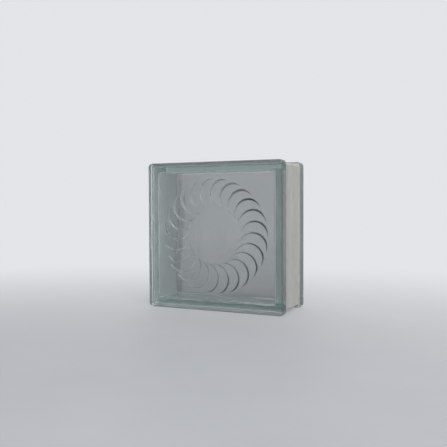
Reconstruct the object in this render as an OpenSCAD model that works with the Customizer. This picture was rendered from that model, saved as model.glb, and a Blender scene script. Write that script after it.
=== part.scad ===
// Hollow glass block for masonry walls, standing on one edge.
// Millimetres. X is the width, Y the depth and Z the height. The origin is the middle
// of the footprint, and the face with the pressed ring of discs looks towards -Y.

/* [Block] */
// Width of the block
block_w = 190; // [150:1:300]
// Height of the block
block_h = 190; // [150:1:300]
// Depth from face to face
block_d = 80; // [60:1:120]
// Radius of the four corners, seen from the front
corner_r = 5.5; // [5:0.5:10]
// Rounding of the edge round each face
edge_r = 2.5; // [0.5:0.25:3.5]

/* [Mortar channel] */
// Depth of the flange behind each face
flange_d = 13; // [8:0.5:18]
// How far the channel lies below the flanges
channel_depth = 4; // [1:0.25:4.5]
// Rounding of the flange edge beside the channel
lip_r = 1; // [0.25:0.25:1.5]
// Fillet between the channel floor and a flange
channel_fillet = 1.5; // [0.75:0.25:2]
// Height of the bead where the two halves are fused
seam_h = 0.5; // [0.2:0.1:0.9]
// Width of that bead
seam_w = 4; // [2:0.5:8]

/* [Glass] */
// Thickness of each face plate
face_t = 9; // [6:0.5:14]
// Thickness of the side walls below the channel, at mid-depth
wall_t = 5.5; // [4:0.5:12]
// How much a side wall thickens from mid-depth to a face plate
wall_draft = 1.5; // [0.5:0.25:3]
// Corner radius of the cavity, seen from the front
cavity_r = 6.5; // [6:0.5:14]
// Fillet between a side wall and a face plate, inside
cavity_fillet = 4; // [2:0.5:5]

/* [Ring of discs] */
// Number of discs in the ring
disc_count = 24; // [16:1:32]
// Radius of one disc
disc_r = 18.25; // [12:0.25:22]
// Radius of the circle that the disc centres lie on
ring_r = 54.75; // [40:0.25:58]
// Slope of a disc, which rises to its leading edge
disc_slope = 7; // [3:0.5:9]
// Height of a disc's middle above the inside of the face plate
disc_rise = 0.3; // [0.1:0.1:1]
// Thickness of a disc, most of it within the face plate
disc_t = 4; // [3.5:0.25:5]

/* [Edge coating] */
// Thickness of the coat in the mortar channel
coat_t = 0.4; // [0.2:0.1:0.7]
// Bare glass between the coat and the side of a flange
coat_margin = 1.25; // [1:0.25:1.75]

/* [Hidden] */
$fn = 96;
// Half the depth of the block
half_d = block_d / 2;
// Half the depth of the cavity
cavity_half_d = half_d - face_t;
// Depth from the middle at which the flanges begin
channel_half_d = half_d - flange_d;
// Radius of the bead's round top, from its width and height
seam_r = (seam_w * seam_w / 4 + seam_h * seam_h) / (2 * seam_h);
// Distance from the block's outside to the cavity at mid-depth
cavity_inset = channel_depth + wall_t;
// Lean of the cavity's side walls
draft_angle = atan(wall_draft / cavity_half_d);

// Section of the block's rim. X runs outwards from the centre of a corner's arc and Y is
// the depth, so the side of a flange lies at corner_r.
module rim_section() {
    channel_x = corner_r - channel_depth;
    keep_outward(corner_r, block_d) {
        translate([0, -half_d]) square([channel_x, block_d]);
        for (side = [-1, 1])
            turn_over(side) {
                flange_section();
                channel_corner(channel_x, channel_fillet);
            }
        translate([channel_x + seam_h - seam_r, 0]) circle(r = seam_r);
    }
}

// Cuts a section off at the centre line of the corner arcs
module keep_outward(width, depth) {
    intersection() {
        translate([0, -depth / 2]) square([width, depth]);
        children();
    }
}

// Turns a section over about the middle of the depth, or leaves it as it is
module turn_over(side) {
    mirror([0, side < 0 ? 1 : 0]) children();
}

// Flange with its rounded outer edge and its rounded lip beside the channel
module flange_section() {
    translate([0, channel_half_d]) square([corner_r - edge_r, flange_d]);
    translate([0, channel_half_d]) square([corner_r - lip_r, flange_d - edge_r]);
    translate([0, channel_half_d + lip_r]) square([corner_r, flange_d - edge_r - lip_r]);
    translate([corner_r - edge_r, half_d - edge_r]) circle(r = edge_r);
    translate([corner_r - lip_r, channel_half_d + lip_r]) circle(r = lip_r);
}

// Hollow corner between the channel floor and a flange, filled to a fillet
module channel_corner(floor_x, fillet_r) {
    difference() {
        translate([floor_x, channel_half_d - fillet_r]) square([fillet_r, fillet_r]);
        translate([floor_x + fillet_r, channel_half_d - fillet_r]) circle(r = fillet_r);
    }
}

// Section of the coat: the lined channel without the free space over the coat
module coat_section() {
    floor_x = corner_r - channel_depth + coat_t;
    space_fillet = channel_fillet - coat_t;
    space_half_d = channel_half_d - coat_t;
    difference() {
        translate([corner_r - channel_depth, -channel_half_d])
            square([channel_depth - coat_margin, 2 * channel_half_d]);
        difference() {
            translate([floor_x, -space_half_d]) square([corner_r, 2 * space_half_d]);
            for (side = [-1, 1])
                turn_over(side)
                    translate([0, -coat_t]) channel_corner(floor_x, space_fillet);
            translate([floor_x + seam_h - seam_r - coat_t, 0]) circle(r = seam_r + coat_t);
        }
        rim_section();
    }
}

// Section of the cavity's rim: a leaning side wall with a fillet at each face plate
module cavity_section() {
    fillet_y = cavity_half_d - cavity_fillet;
    fillet_x = cavity_r - fillet_y * tan(draft_angle) - cavity_fillet / cos(draft_angle);
    wall_x = fillet_x + cavity_fillet * cos(draft_angle);
    wall_y = fillet_y + cavity_fillet * sin(draft_angle);
    keep_outward(cavity_r, 2 * cavity_half_d)
        for (side = [-1, 1])
            turn_over(side) {
                polygon([
                    [0, 0],
                    [cavity_r, 0],
                    [wall_x, wall_y],
                    [fillet_x, cavity_half_d],
                    [0, cavity_half_d]
                ]);
                translate([fillet_x, fillet_y]) circle(r = cavity_fillet);
            }
}

// Carries a rim section round a rectangle with rounded corners. The section's zero lies
// inset + radius inside the block's outline, on the centres of the corner arcs.
module carry_round(inset, radius) {
    half_w = block_w / 2 - inset - radius;
    half_h = block_h / 2 - inset - radius;
    translate([0, 0, block_h / 2])
        rotate([90, 0, 0])
            for (turn = [0 : 3]) {
                along = turn % 2 == 0 ? half_h : half_w;
                across = turn % 2 == 0 ? half_w : half_h;
                rotate([0, 0, 90 * turn]) translate([across, 0, 0]) {
                    translate([0, along, 0])
                        rotate([90, 0, 0]) linear_extrude(2 * along) children();
                    translate([0, along, 0]) rotate_extrude(angle = 90) children();
                }
            }
}

// Block of the given depth that fills the space inside a carried rim
module fill_inside(inset, radius, depth) {
    half_w = block_w / 2 - inset - radius;
    half_h = block_h / 2 - inset - radius;
    translate([-half_w, -depth / 2, block_h / 2 - half_h])
        cube([2 * half_w, depth, 2 * half_h]);
}

// One disc of the ring, sloping up to its leading edge, which faces counter-clockwise
// as seen from the front
module disc(angle) {
    rotate([0, 0, -angle])
        translate([ring_r, 0, disc_rise])
            rotate([-disc_slope, 0, 0])
                translate([0, 0, -disc_t]) cylinder(r = disc_r, h = disc_t);
}

// Ring of discs on the cavity side of the front plate
module disc_ring() {
    translate([0, -cavity_half_d, block_h / 2])
        rotate([-90, 0, 0])
            for (i = [0 : disc_count - 1])
                disc(360 * i / disc_count);
}

// The fused block of glass with its sealed cavity
module glass_body() {
    color([0.62, 0.70, 0.69, 0.6]) {
        difference() {
            union() {
                carry_round(0, corner_r) rim_section();
                fill_inside(0, corner_r, block_d);
            }
            difference() {
                union() {
                    carry_round(cavity_inset, cavity_r) cavity_section();
                    fill_inside(cavity_inset, cavity_r, 2 * cavity_half_d);
                }
                disc_ring();
            }
        }
    }
}

// The opaque coat that lines the mortar channel on all four edges
module edge_coating() {
    color([0.66, 0.655, 0.64])
        carry_round(0, corner_r) coat_section();
}

glass_body();
edge_coating();
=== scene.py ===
# Looks of a hollow glass block for masonry walls: clear pressed glass with a ring of
# overlapping discs behind its front face, and a matte grey coat in the mortar channel.
import math

import bpy
import numpy as np
from mathutils import Matrix, Vector


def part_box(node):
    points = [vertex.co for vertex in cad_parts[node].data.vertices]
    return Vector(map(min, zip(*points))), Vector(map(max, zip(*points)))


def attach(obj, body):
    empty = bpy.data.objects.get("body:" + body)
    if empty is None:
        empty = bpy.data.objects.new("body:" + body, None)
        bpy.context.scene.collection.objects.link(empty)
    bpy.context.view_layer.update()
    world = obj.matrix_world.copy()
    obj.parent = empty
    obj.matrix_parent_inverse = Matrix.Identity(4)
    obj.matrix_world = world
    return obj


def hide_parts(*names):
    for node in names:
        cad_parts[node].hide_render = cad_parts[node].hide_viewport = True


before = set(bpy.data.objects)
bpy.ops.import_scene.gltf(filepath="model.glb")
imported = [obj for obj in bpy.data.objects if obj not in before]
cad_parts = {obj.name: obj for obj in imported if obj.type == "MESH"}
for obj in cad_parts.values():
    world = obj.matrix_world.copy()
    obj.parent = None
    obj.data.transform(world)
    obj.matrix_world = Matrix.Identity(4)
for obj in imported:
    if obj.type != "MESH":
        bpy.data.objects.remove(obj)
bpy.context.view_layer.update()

MM = 0.001

# Sizes that the frame gives
glass_low, glass_high = (Vector(corner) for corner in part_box("glass_body"))
coat_low, coat_high = (Vector(corner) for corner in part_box("edge_coating"))
half_w = (glass_high.x - glass_low.x) / 2
half_h = (glass_high.z - glass_low.z) / 2
half_d = (glass_high.y - glass_low.y) / 2
channel_half_d = (coat_high.y - coat_low.y) / 2
coat_margin = glass_high.x - coat_high.x

# Sizes of the rim, the cavity and the coat, as in the solids
corner_r = 5.5 * MM
edge_r = 2.5 * MM
channel_depth = 4 * MM
lip_r = 1 * MM
channel_fillet = 1.5 * MM
seam_h = 0.5 * MM
seam_w = 4 * MM
face_t = 9 * MM
wall_t = 5.5 * MM
wall_draft = 1.5 * MM
cavity_r = 6.5 * MM
cavity_fillet = 4 * MM
coat_t = 0.4 * MM
# The coat is bonded to the glass, so its back lies this far inside the glass surface
coat_bond = 0.05 * MM
# How far light scatters in the coat
coat_scatter = 0.5 * MM
# Depths behind the middle between which a grey cast sets in on the cavity's left and right walls
cast_zone = (19 * MM, 22 * MM)
# Shares of that cast on the sides of the two flanges
front_flange_cast = 0.9
rear_flange_cast = 0.5

# The ring of discs
disc_count = 24
disc_r = 18.25 * MM
ring_r = 54.75 * MM
disc_slope = math.radians(7)
disc_rise = 0.3 * MM
# Steepness of a disc's leading edge, the rounding at its top, and the blend at its foot
disc_wall_slope = 0.7
disc_edge_round = 0.15 * MM
disc_blend = 0.1 * MM
# The leading edges are painted darker further out, as shade: share of that painted shade that is
# left towards the middle of the ring, and the radii between which it grows to full
inner_painted_shade = 0.3
painted_shade_zone = (ring_r - 13 * MM, ring_r)
# Direction from the middle of the ring in which the edges are painted darkest, as shade, turning
# up from the right, and the share of that painted shade on the opposite side
painted_shade_side = math.radians(-15)
far_side_painted_shade = 0.3

# Fineness of the meshes
corner_steps = 10
straight_steps = 4
round_steps = 8
seam_steps = 16
disc_edge_rows = 44
columns_per_disc = 20
# Share by which the columns crowd towards the leading edges
column_crowding = 0.85
# Angle at each end of a leading edge's half circle that is left to plain rings
half_circle_cut = math.radians(10)
plain_ring_step = 0.6 * MM
plain_rings = 4
# Half the distance over which a slope of the relief is taken
slope_step = 0.02 * MM

# The glass: its tones where it is clear, under the grey cast, and on the frosted leading edges,
# whose dark tone is painted shade
clear_tone = (0.94, 0.94, 0.94, 1)
cast_tone = (0.14, 0.135, 0.135, 1)
frost_and_shade_tone = (0.04, 0.044, 0.044, 1)
# Shares of light that go through the clear glass and the dull edges
clear_share = 0.985
dull_share = 0.05
glass_ior = 1.52
# Colour that light takes on in the depth of the glass, and how strongly for each metre
depth_colour = (0.35, 0.86, 0.80, 1)
depth_density = 7.5

# Dark and light tones of the coat: outside, and at its back on the side walls and on the flanges
outside_tones = ((0.39, 0.385, 0.372, 1), (0.45, 0.445, 0.432, 1))
# The back on the side walls is painted light: far lighter than the coat outside, so the cavity
# walls read bright
painted_light_wall_tones = ((0.93, 0.93, 0.91, 1), (0.97, 0.97, 0.95, 1))
# The back on the flanges is a shaded copy: painted shade, darker than the back on the side walls
painted_shade_flange_tones = ((0.5, 0.5, 0.49, 1), (0.56, 0.56, 0.55, 1))
# A face of the coat's back lies on a flange if its normal runs along the depth by more than this
flange_facing = 0.7

# Range in which most values of a noise lie
noise_range = (0.3, 0.7)

# The stage: its backdrop and dimmer ceiling, and the angles from straight up between which the
# ceiling sets in
backdrop_colour = (0.77, 0.78, 0.81, 1)
ceiling_colour = (0.5, 0.5, 0.52, 1)
ceiling_fade = (math.radians(65), math.radians(40))
# The even light on the surfaces
light_colour = (0.95, 0.97, 1.0, 1)
light_strength = 0.58
# The floor: its dark and light tones, its size, its middle, and the distances from there between
# which it runs into the backdrop
floor_tones = ((0.34, 0.35, 0.37, 1), (0.40, 0.41, 0.43, 1))
floor_radius = 4.0
floor_sides = 96
floor_middle = Vector((0.1, -0.6, 0))
floor_fade = (0.2, 1.2)

cavity_half_d = half_d - face_t
cavity_inset = channel_depth + wall_t
draft_angle = math.atan(wall_draft / cavity_half_d)
middle = Vector((0, 0, glass_low.z + half_h))


# Sections of the rim, as points with their outward normals

def arc(centre, radius, start, end, steps, hollow=False):
    """Points on a round edge, or in a hollow corner, for normals that turn from start to end."""
    sign = -1 if hollow else 1
    points = []
    for i in range(steps + 1):
        angle = math.radians(start + (end - start) * i / steps)
        normal = (math.cos(angle), math.sin(angle))
        point = (centre[0] + sign * radius * normal[0], centre[1] + sign * radius * normal[1])
        points.append((point, normal))
    return points


def turned_over(section):
    """The same section on the other side of mid-depth, in the order that carries on from it."""
    return [((x, -y), (nx, -ny)) for (x, y), (nx, ny) in reversed(section)]


def channel_floor(floor_x):
    """Floor of the mortar channel with the soft bead where the two halves are fused."""
    points = []
    for i in range(seam_steps + 1):
        y = seam_w * (i / seam_steps - 0.5)
        turn = 2 * math.pi * y / seam_w
        rise = seam_h * (1 + math.cos(turn)) / 2
        slope = -seam_h * math.pi / seam_w * math.sin(turn)
        length = math.hypot(1, slope)
        points.append(((floor_x + rise, y), (1 / length, -slope / length)))
    return points


def channel_section():
    """The channel from the front flange to the rear flange."""
    floor_x = corner_r - channel_depth
    corner = (floor_x + channel_fillet, -channel_half_d + channel_fillet)
    side = [((corner_r - coat_margin, -channel_half_d), (0.0, 1.0))]
    side += arc(corner, channel_fillet, 90, 0, round_steps, hollow=True)
    return side + channel_floor(floor_x) + turned_over(side)


def outer_section():
    """The rim from the front face over the two flanges and the channel to the rear face."""
    face_edge = (corner_r - edge_r, -half_d + edge_r)
    lip = (corner_r - lip_r, -channel_half_d - lip_r)
    flange = arc(face_edge, edge_r, -90, 0, round_steps)
    flange += arc(lip, lip_r, 0, 90, round_steps)
    return flange + channel_section() + turned_over(flange)


def outer_casts():
    """Shares of grey cast on the rim: full on the rear face, fading over its edge, and less on the
    sides of the flanges."""
    casts = []
    for (x, y), (nx, ny) in outer_section():
        on_rear_edge = y > half_d - edge_r
        on_flange = abs(y) > channel_half_d
        flange_cast = front_flange_cast if y < 0 else rear_flange_cast
        casts.append(max(ny * on_rear_edge, flange_cast * nx * on_flange))
    return casts


def cavity_section():
    """The rim of the cavity, with normals that point into it."""
    fillet_y = cavity_half_d - cavity_fillet
    lean = fillet_y * math.tan(draft_angle) + cavity_fillet / math.cos(draft_angle)
    corner = (cavity_r - lean, -fillet_y)
    lean_angle = 180 - math.degrees(draft_angle)
    half = arc(corner, cavity_fillet, 90, lean_angle, round_steps, hollow=True)
    bend_y = -seam_w / 2
    wall_normal = (-math.cos(draft_angle), math.sin(draft_angle))
    for y in (-cast_zone[1], -cast_zone[0], bend_y):
        half.append(((cavity_r + y * math.tan(draft_angle), y), wall_normal))
    ridge = [((cavity_r + bend_y * math.tan(draft_angle) / 2, 0.0), (-1.0, 0.0))]
    return half + ridge + turned_over(half)


# Meshes

def stations(inset, radius):
    """Places and directions round a rounded rectangle, from the middle of its right side."""
    places = []
    reach = (half_w - inset - radius, half_h - inset - radius)
    for quarter in range(4):
        along = reach[1] if quarter % 2 == 0 else reach[0]
        across = reach[0] if quarter % 2 == 0 else reach[1]
        turn = quarter * math.pi / 2
        local = [(across, along * i / straight_steps, 0.0) for i in range(straight_steps)]
        for i in range(corner_steps):
            local.append((across, along, math.pi / 2 * i / corner_steps))
        for i in range(straight_steps):
            local.append((across * (1 - i / straight_steps), along, math.pi / 2))
        for x, z, angle in local:
            turned_x = x * math.cos(turn) - z * math.sin(turn)
            turned_z = x * math.sin(turn) + z * math.cos(turn)
            direction = (math.cos(turn + angle), math.sin(turn + angle))
            places.append(((turned_x, turned_z), direction))
    return places


def carried_round(section, inset, radius):
    """Carries a section round the block. Gives points and normals by station and section point."""
    points, normals = [], []
    for (x, z), (dx, dz) in stations(inset, radius):
        points.append([(x + dx * u, v, middle.z + z + dz * u) for (u, v), n in section])
        normals.append([(dx * nu, nv, dz * nu) for p, (nu, nv) in section])
    return np.array(points), np.array(normals)


class Skin:
    """A mesh in the making: points with their normals, and faces that look along them."""

    def __init__(self):
        self.points = []
        self.normals = []
        self.faces = []
        self.casts = []
        self.frosts_and_shade = []

    def add(self, points, normals, casts=0.0, frosts_and_shade=0.0):
        """Adds a grid of points with their shares of cast and of frost with painted shade, and
        returns their numbers.
        """
        numbers = len(self.points) + np.arange(points.shape[0] * points.shape[1])
        self.points.extend(points.reshape(-1, 3).tolist())
        self.normals.extend(normals.reshape(-1, 3).tolist())
        self.casts.extend(np.broadcast_to(casts, points.shape[:2]).reshape(-1).tolist())
        self.frosts_and_shade.extend(np.broadcast_to(frosts_and_shade, points.shape[:2]).reshape(-1).tolist())
        return numbers.reshape(points.shape[:2])

    def face(self, numbers):
        """Adds a face, turned to look the way its points' normals do."""
        ring = np.array([self.points[n] for n in numbers])
        area = np.cross(ring, np.roll(ring, -1, axis=0)).sum(axis=0)
        facing = np.array([self.normals[n] for n in numbers]).sum(axis=0)
        order = [int(n) for n in numbers]
        self.faces.append(order if area @ facing > 0 else order[::-1])

    def grid(self, numbers, close_columns=False):
        """Adds the four-sided faces of a grid of point numbers whose rows close in a ring."""
        rows, columns = numbers.shape
        for i in range(rows):
            for j in range(columns if close_columns else columns - 1):
                next_i, next_j = (i + 1) % rows, (j + 1) % columns
                corners = [(i, j), (next_i, j), (next_i, next_j), (i, next_j)]
                self.face([numbers[corner] for corner in corners])

    def build(self, name, *materials):
        """Makes the object, smooth, with the worked-out normals."""
        mesh = bpy.data.meshes.new(name)
        mesh.from_pydata(self.points, [], self.faces)
        mesh.polygons.foreach_set("use_smooth", [True] * len(mesh.polygons))
        for material in materials:
            mesh.materials.append(material)
        mesh.attributes.new("cast", "FLOAT", "POINT").data.foreach_set("value", self.casts)
        mesh.attributes.new("frost_and_shade", "FLOAT", "POINT").data.foreach_set("value", self.frosts_and_shade)
        mesh.normals_split_custom_set_from_vertices(self.normals)
        piece = bpy.data.objects.new(name, mesh)
        bpy.context.collection.objects.link(piece)
        return piece


# The ring of discs on the cavity side of the front plate

def ring_height(x, z):
    """Height of the ring above the plate's inside, where every disc rises to its leading edge."""
    total = np.ones_like(x)
    for i in range(disc_count):
        turn = 2 * math.pi * i / disc_count
        away = x * math.cos(turn) + z * math.sin(turn) - ring_r
        ahead = z * math.cos(turn) - x * math.sin(turn)
        outside = np.hypot(away, ahead) - disc_r
        fall = disc_edge_round * np.logaddexp(0, outside / disc_edge_round)
        top = disc_rise + ahead * math.tan(disc_slope) - disc_wall_slope * fall
        total += np.exp(top / disc_blend)
    return disc_blend * np.log(total)


def relief_points(x, z):
    """Points, normals and shares of frost with painted shade of the relief at the given places on
    the plate.
    """
    rise_x = (ring_height(x + slope_step, z) - ring_height(x - slope_step, z)) / (2 * slope_step)
    rise_z = (ring_height(x, z + slope_step) - ring_height(x, z - slope_step)) / (2 * slope_step)
    points = np.stack([x, ring_height(x, z) - cavity_half_d, z + middle.z], axis=-1)
    normals = np.stack([-rise_x, np.ones_like(x), -rise_z], axis=-1)
    # Steepness of a leading edge where the slope of its disc works most against it
    least_steep = disc_wall_slope - math.tan(disc_slope)
    steep = np.interp(np.hypot(rise_x, rise_z), (least_steep / 2, least_steep), (0, 1))
    # Painted shade that grows from the middle of the ring outwards
    outwards = np.interp(np.hypot(x, z), painted_shade_zone, (inner_painted_shade, 1))
    # Painted shade: 1 within 60 degrees of the side painted darkest, and 0 beyond 120 degrees
    towards = np.clip(0.5 + np.cos(np.arctan2(z, x) - painted_shade_side), 0, 1)
    # Frost on the steep leading edges, carrying painted shade that is strongest outwards and on
    # one side
    frosts_and_shade = steep * outwards * (far_side_painted_shade + (1 - far_side_painted_shade) * towards)
    return points, normals / np.linalg.norm(normals, axis=-1, keepdims=True), frosts_and_shade


def relief_grid():
    """Grid over the ring: half circles that follow the leading edges, turned about the middle,
    with plain rings inside and outside them. Rows run outwards, columns round the ring."""
    t = np.linspace(half_circle_cut, math.pi - half_circle_cut, disc_edge_rows)
    radial = ring_r - disc_r * np.cos(t)
    ahead = disc_r * np.sin(t)
    radius = np.hypot(radial, ahead)
    lead = np.arctan2(ahead, radial)
    inner = radius[0] - plain_ring_step * np.arange(plain_rings, 0, -1)
    outer = radius[-1] + plain_ring_step * np.arange(1, plain_rings + 1)
    radius = np.concatenate([inner, radius, outer])
    lead = np.concatenate([np.full(plain_rings, lead[0]), lead, np.full(plain_rings, lead[-1])])
    count = disc_count * columns_per_disc
    place = np.arange(count) / columns_per_disc
    crowded = place - column_crowding * np.sin(2 * math.pi * place) / (2 * math.pi)
    angle = crowded * 2 * math.pi / disc_count
    x = radius[:, None] * np.cos(lead[:, None] + angle[None, :])
    z = radius[:, None] * np.sin(lead[:, None] + angle[None, :])
    return relief_points(x, z)


def glass_piece(material):
    """The fused block: its outer skin, its cavity and the ring of discs in it."""
    skin = Skin()
    outer = skin.add(*carried_round(outer_section(), 0, corner_r), outer_casts())
    skin.grid(outer)
    skin.face(outer[:, 0])
    skin.face(outer[:, -1])
    wall = cavity_section()
    rear_wall = [abs(nx) if y >= cast_zone[1] else 0.0 for (x, y), (nx, ny) in wall]
    sideways = [abs(dx) for place, (dx, dz) in stations(cavity_inset, cavity_r)]
    cavity = skin.add(*carried_round(wall, cavity_inset, cavity_r), np.outer(sideways, rear_wall))
    skin.grid(cavity)
    skin.face(cavity[:, -1])
    points, normals, frosts_and_shade = relief_grid()
    relief = skin.add(points, normals, frosts_and_shade=frosts_and_shade)
    skin.grid(relief.T)
    skin.face(relief[0])
    plate_edge, ring_edge = cavity[:, 0], relief[-1]
    half_plate, half_ring = len(plate_edge) // 2, len(ring_edge) // 2
    for side in range(2):
        plate = np.roll(plate_edge, -side * half_plate)[:half_plate + 1]
        ring = np.roll(ring_edge, -side * half_ring)[:half_ring + 1]
        skin.face(np.concatenate([plate, ring[::-1]]))
    return skin.build("glass_block", material)


def coat_piece(outside, painted_light_behind_wall, painted_shade_behind_flange):
    """The coat in the mortar channel, bonded to the glass at its back, with its back in a
    painted-light copy on the side walls and a painted-shade copy on the flanges.
    """
    channel = channel_section()
    front = [((x + nx * coat_t, y + ny * coat_t), (nx, ny)) for (x, y), (nx, ny) in channel]
    back = [((x - nx * coat_bond, y - ny * coat_bond), (-nx, -ny)) for (x, y), (nx, ny) in channel]
    skin = Skin()
    coat = skin.add(*carried_round(front + back[::-1], 0, corner_r))
    skin.grid(coat, close_columns=True)
    piece = skin.build("channel_coat", outside, painted_light_behind_wall, painted_shade_behind_flange)
    for face in piece.data.polygons:
        columns = [n % coat.shape[1] for n in face.vertices]
        if min(columns) >= len(front):
            # Faces of the back on the side walls get the painted-light tones, those on the flanges
            # the painted-shade tones
            on_flange = abs(face.normal.y) > flange_facing
            face.material_index = 2 if on_flange else 1
    return piece


# Materials

def new_material(name):
    """A new material, its node tree and its main shader."""
    material = bpy.data.materials.new(name)
    material.use_nodes = True
    tree = material.node_tree
    return material, tree, tree.nodes["Principled BSDF"]


def noise(tree, scale, detail, roughness=0.5):
    """Noise over the object's own coordinates, with its scale in waves a metre."""
    coordinates = tree.nodes.new("ShaderNodeTexCoord")
    texture = tree.nodes.new("ShaderNodeTexNoise")
    texture.inputs["Scale"].default_value = scale
    texture.inputs["Detail"].default_value = detail
    texture.inputs["Roughness"].default_value = roughness
    tree.links.new(coordinates.outputs["Object"], texture.inputs["Vector"])
    return texture.outputs["Fac"]


def ranged(tree, source, low, high):
    """A noise spread over a range of values."""
    spread = tree.nodes.new("ShaderNodeMapRange")
    spread.inputs["From Min"].default_value = noise_range[0]
    spread.inputs["From Max"].default_value = noise_range[1]
    spread.inputs["To Min"].default_value = low
    spread.inputs["To Max"].default_value = high
    tree.links.new(source, spread.inputs["Value"])
    return spread.outputs["Result"]


def bump(tree, source, distance, strength):
    """A bump of the given height from a noise."""
    node = tree.nodes.new("ShaderNodeBump")
    node.inputs["Distance"].default_value = distance
    node.inputs["Strength"].default_value = strength
    tree.links.new(source, node.inputs["Height"])
    return node.outputs["Normal"]


def mixed(tree, share, first, second):
    """Goes from the first colour to the second with the share. Each is a colour or a socket."""
    mix = tree.nodes.new("ShaderNodeMix")
    mix.data_type = "RGBA"
    tree.links.new(share, mix.inputs["Factor"])
    for name, colour in (("A", first), ("B", second)):
        if isinstance(colour, tuple):
            mix.inputs[name].default_value = colour
        else:
            tree.links.new(colour, mix.inputs[name])
    return mix.outputs["Result"]


def share_on_mesh(tree, name):
    """A share that the mesh carries for each of its points."""
    attribute = tree.nodes.new("ShaderNodeAttribute")
    attribute.attribute_name = name
    return attribute.outputs["Fac"]


def glass_material():
    """Clear pressed glass: green in its depth, softly wavy, with a grey cast on its rear face and
    frosted leading edges on the discs, painted dark as shade, most on one side of the ring."""
    material, tree, shader = new_material("pressed_glass")
    cast, frost_and_shade = share_on_mesh(tree, "cast"), share_on_mesh(tree, "frost_and_shade")
    tone = mixed(tree, cast, clear_tone, cast_tone)
    # The frosted edges take the dark tone, which is painted shade
    tree.links.new(mixed(tree, frost_and_shade, tone, frost_and_shade_tone), shader.inputs["Base Color"])
    clearness = tree.nodes.new("ShaderNodeMapRange")
    clearness.inputs["To Min"].default_value = clear_share
    clearness.inputs["To Max"].default_value = dull_share
    tree.links.new(frost_and_shade, clearness.inputs["Value"])
    tree.links.new(clearness.outputs["Result"], shader.inputs["Transmission Weight"])
    shader.inputs["IOR"].default_value = glass_ior
    shader.inputs["Transmission Weight"].default_value = clear_share
    roughness = ranged(tree, noise(tree, scale=60, detail=3), low=0.04, high=0.08)
    tree.links.new(roughness, shader.inputs["Roughness"])
    waves = bump(tree, noise(tree, scale=45, detail=1), distance=0.15 * MM, strength=0.5)
    tree.links.new(waves, shader.inputs["Normal"])
    depth = tree.nodes.new("ShaderNodeVolumeAbsorption")
    depth.inputs["Color"].default_value = depth_colour
    depth.inputs["Density"].default_value = depth_density
    tree.links.new(depth.outputs["Volume"], tree.nodes["Material Output"].inputs["Volume"])
    return material


def coat_material(name, dark, light):
    """Matte coat between two tones, with a fine grain and faint uneven patches."""
    material, tree, shader = new_material(name)
    ramp = tree.nodes.new("ShaderNodeValToRGB")
    ramp.color_ramp.elements[0].position = noise_range[0]
    ramp.color_ramp.elements[0].color = dark
    ramp.color_ramp.elements[1].position = noise_range[1]
    ramp.color_ramp.elements[1].color = light
    patches = noise(tree, scale=90, detail=6, roughness=0.65)
    tree.links.new(patches, ramp.inputs["Fac"])
    tree.links.new(ramp.outputs["Color"], shader.inputs["Base Color"])
    shader.inputs["Subsurface Weight"].default_value = 1.0
    shader.inputs["Subsurface Radius"].default_value = (1, 1, 1)
    shader.inputs["Subsurface Scale"].default_value = coat_scatter
    roughness = ranged(tree, noise(tree, scale=400, detail=3), low=0.7, high=0.9)
    tree.links.new(roughness, shader.inputs["Roughness"])
    grain = noise(tree, scale=1800, detail=4, roughness=0.6)
    tree.links.new(bump(tree, grain, distance=0.1 * MM, strength=0.6), shader.inputs["Normal"])
    return material


def seen_directly(tree):
    """1 for what the camera, reflections and glass see, and 0 for the light that surfaces get."""
    path = tree.nodes.new("ShaderNodeLightPath")
    seen = path.outputs["Is Camera Ray"]
    for ray in ("Is Glossy Ray", "Is Transmission Ray"):
        either = tree.nodes.new("ShaderNodeMath")
        either.operation = "MAXIMUM"
        tree.links.new(seen, either.inputs[0])
        tree.links.new(path.outputs[ray], either.inputs[1])
        seen = either.outputs["Value"]
    return seen


def floor_material():
    """Plain pale floor that runs into the backdrop's colour far from the block."""
    material, tree, shader = new_material("pale_floor")
    ramp = tree.nodes.new("ShaderNodeValToRGB")
    ramp.color_ramp.elements[0].color = floor_tones[0]
    ramp.color_ramp.elements[1].color = floor_tones[1]
    tree.links.new(noise(tree, scale=9, detail=6, roughness=0.6), ramp.inputs["Fac"])
    tree.links.new(ramp.outputs["Color"], shader.inputs["Base Color"])
    shader.inputs["Roughness"].default_value = 0.6
    coordinates = tree.nodes.new("ShaderNodeTexCoord")
    distance = tree.nodes.new("ShaderNodeVectorMath")
    distance.operation = "LENGTH"
    tree.links.new(coordinates.outputs["Object"], distance.inputs[0])
    fade = tree.nodes.new("ShaderNodeMapRange")
    fade.interpolation_type = "SMOOTHSTEP"
    fade.inputs["From Min"].default_value = floor_fade[0]
    fade.inputs["From Max"].default_value = floor_fade[1]
    tree.links.new(distance.outputs["Value"], fade.inputs["Value"])
    share = tree.nodes.new("ShaderNodeMath")
    share.operation = "MULTIPLY"
    tree.links.new(fade.outputs["Result"], share.inputs[0])
    tree.links.new(seen_directly(tree), share.inputs[1])
    far = tree.nodes.new("ShaderNodeEmission")
    far.inputs["Color"].default_value = backdrop_colour
    mix = tree.nodes.new("ShaderNodeMixShader")
    tree.links.new(share.outputs["Value"], mix.inputs["Fac"])
    tree.links.new(shader.outputs["BSDF"], mix.inputs[1])
    tree.links.new(far.outputs["Emission"], mix.inputs[2])
    tree.links.new(mix.outputs["Shader"], tree.nodes["Material Output"].inputs["Surface"])
    return material


# The stage, the light and the camera

def add_floor():
    """Round pale floor that the block stands on."""
    mesh = bpy.data.meshes.new("floor")
    turns = [2 * math.pi * i / floor_sides for i in range(floor_sides)]
    rim = [(floor_radius * math.cos(turn), floor_radius * math.sin(turn), 0) for turn in turns]
    mesh.from_pydata(rim, [], [range(floor_sides)])
    mesh.materials.append(floor_material())
    floor = bpy.data.objects.new("floor", mesh)
    floor.location = floor_middle
    bpy.context.collection.objects.link(floor)


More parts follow.
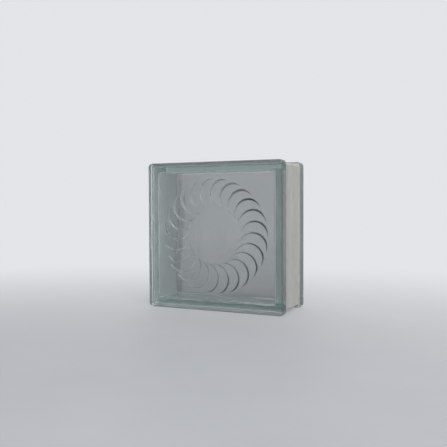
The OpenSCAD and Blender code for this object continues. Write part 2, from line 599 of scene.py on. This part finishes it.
def turned_towards(tree, direction, start, full):
    """Share of 0 to 1 that grows as a view into the world turns towards the given direction."""
    coordinates = tree.nodes.new("ShaderNodeTexCoord")
    along = tree.nodes.new("ShaderNodeVectorMath")
    along.operation = "DOT_PRODUCT"
    along.inputs[1].default_value = direction.normalized()
    tree.links.new(coordinates.outputs["Generated"], along.inputs[0])
    share = tree.nodes.new("ShaderNodeMapRange")
    share.interpolation_type = "SMOOTHSTEP"
    share.inputs["From Min"].default_value = math.cos(start)
    share.inputs["From Max"].default_value = math.cos(full)
    tree.links.new(along.outputs["Value"], share.inputs["Value"])
    return share.outputs["Result"]


def add_world():
    """Even light for the surfaces, and for the camera, reflections and glass a pale backdrop."""
    world = bpy.data.worlds.new("studio")
    bpy.context.scene.world = world
    world.use_nodes = True
    tree = world.node_tree
    light = tree.nodes["Background"]
    light.inputs["Color"].default_value = light_colour
    light.inputs["Strength"].default_value = light_strength
    backdrop = tree.nodes.new("ShaderNodeBackground")
    above = turned_towards(tree, Vector((0, 0, 1)), *ceiling_fade)
    tree.links.new(mixed(tree, above, backdrop_colour, ceiling_colour), backdrop.inputs["Color"])
    mix = tree.nodes.new("ShaderNodeMixShader")
    tree.links.new(seen_directly(tree), mix.inputs["Fac"])
    tree.links.new(light.outputs["Background"], mix.inputs[1])
    tree.links.new(backdrop.outputs["Background"], mix.inputs[2])
    tree.links.new(mix.outputs["Shader"], tree.nodes["World Output"].inputs["Surface"])


def add_lamp(name, place, width, power, colour):
    """Soft square lamp that faces the block's middle."""
    data = bpy.data.lights.new(name, "AREA")
    data.shape = "SQUARE"
    data.size = width
    data.energy = power
    data.color = colour
    lamp = bpy.data.objects.new(name, data)
    lamp.location = place
    lamp.rotation_euler = (middle - Vector(place)).to_track_quat("-Z", "Y").to_euler()
    bpy.context.collection.objects.link(lamp)


def add_camera():
    """Camera at the photo's viewpoint, to the right of the block and a little above its middle."""
    yaw = math.radians(25.781)
    pitch = math.radians(1.942)
    roll = math.radians(-0.237)
    place = Vector((0.35451, -0.70039 - half_d, 0.13808))
    level = math.cos(pitch)
    forward = Vector((-math.sin(yaw) * level, math.cos(yaw) * level, -math.sin(pitch)))
    right = Vector((math.cos(yaw), math.sin(yaw), 0))
    up = right.cross(forward)
    rolled_right = right * math.cos(roll) + up * math.sin(roll)
    rolled_up = up * math.cos(roll) - right * math.sin(roll)
    axes = Matrix((rolled_right, rolled_up, -forward)).transposed()
    data = bpy.data.cameras.new("camera")
    data.lens = 50
    data.sensor_width = 36
    camera = bpy.data.objects.new("camera", data)
    camera.matrix_world = Matrix.Translation(place) @ axes.to_4x4()
    bpy.context.collection.objects.link(camera)
    bpy.context.scene.camera = camera


glass = glass_piece(glass_material())
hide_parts("glass_body")
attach(glass, "root")

outside_coat = coat_material("coat_outside", *outside_tones)
# Lit and shaded copies of the coat for its back: painted light behind the glass walls, painted
# shade behind the flanges
painted_light_wall_coat = coat_material("coat_painted_light_behind_glass", *painted_light_wall_tones)
painted_shade_flange_coat = coat_material("coat_painted_shade_behind_flange", *painted_shade_flange_tones)
coat = coat_piece(outside_coat, painted_light_wall_coat, painted_shade_flange_coat)
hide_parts("edge_coating")
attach(coat, "root")

add_floor()
add_world()
add_lamp("key_lamp", place=(0.9, -1.3, 1.2), width=1.6, power=34, colour=(1.0, 0.99, 0.97))
add_lamp("rear_lamp", place=(-1.0, 1.2, 1.9), width=2.0, power=8, colour=(0.97, 0.98, 1.0))
add_camera()

scene = bpy.context.scene
scene.view_settings.view_transform = "Standard"
scene.cycles.max_bounces = 24
scene.cycles.glossy_bounces = 16
scene.cycles.transmission_bounces = 24
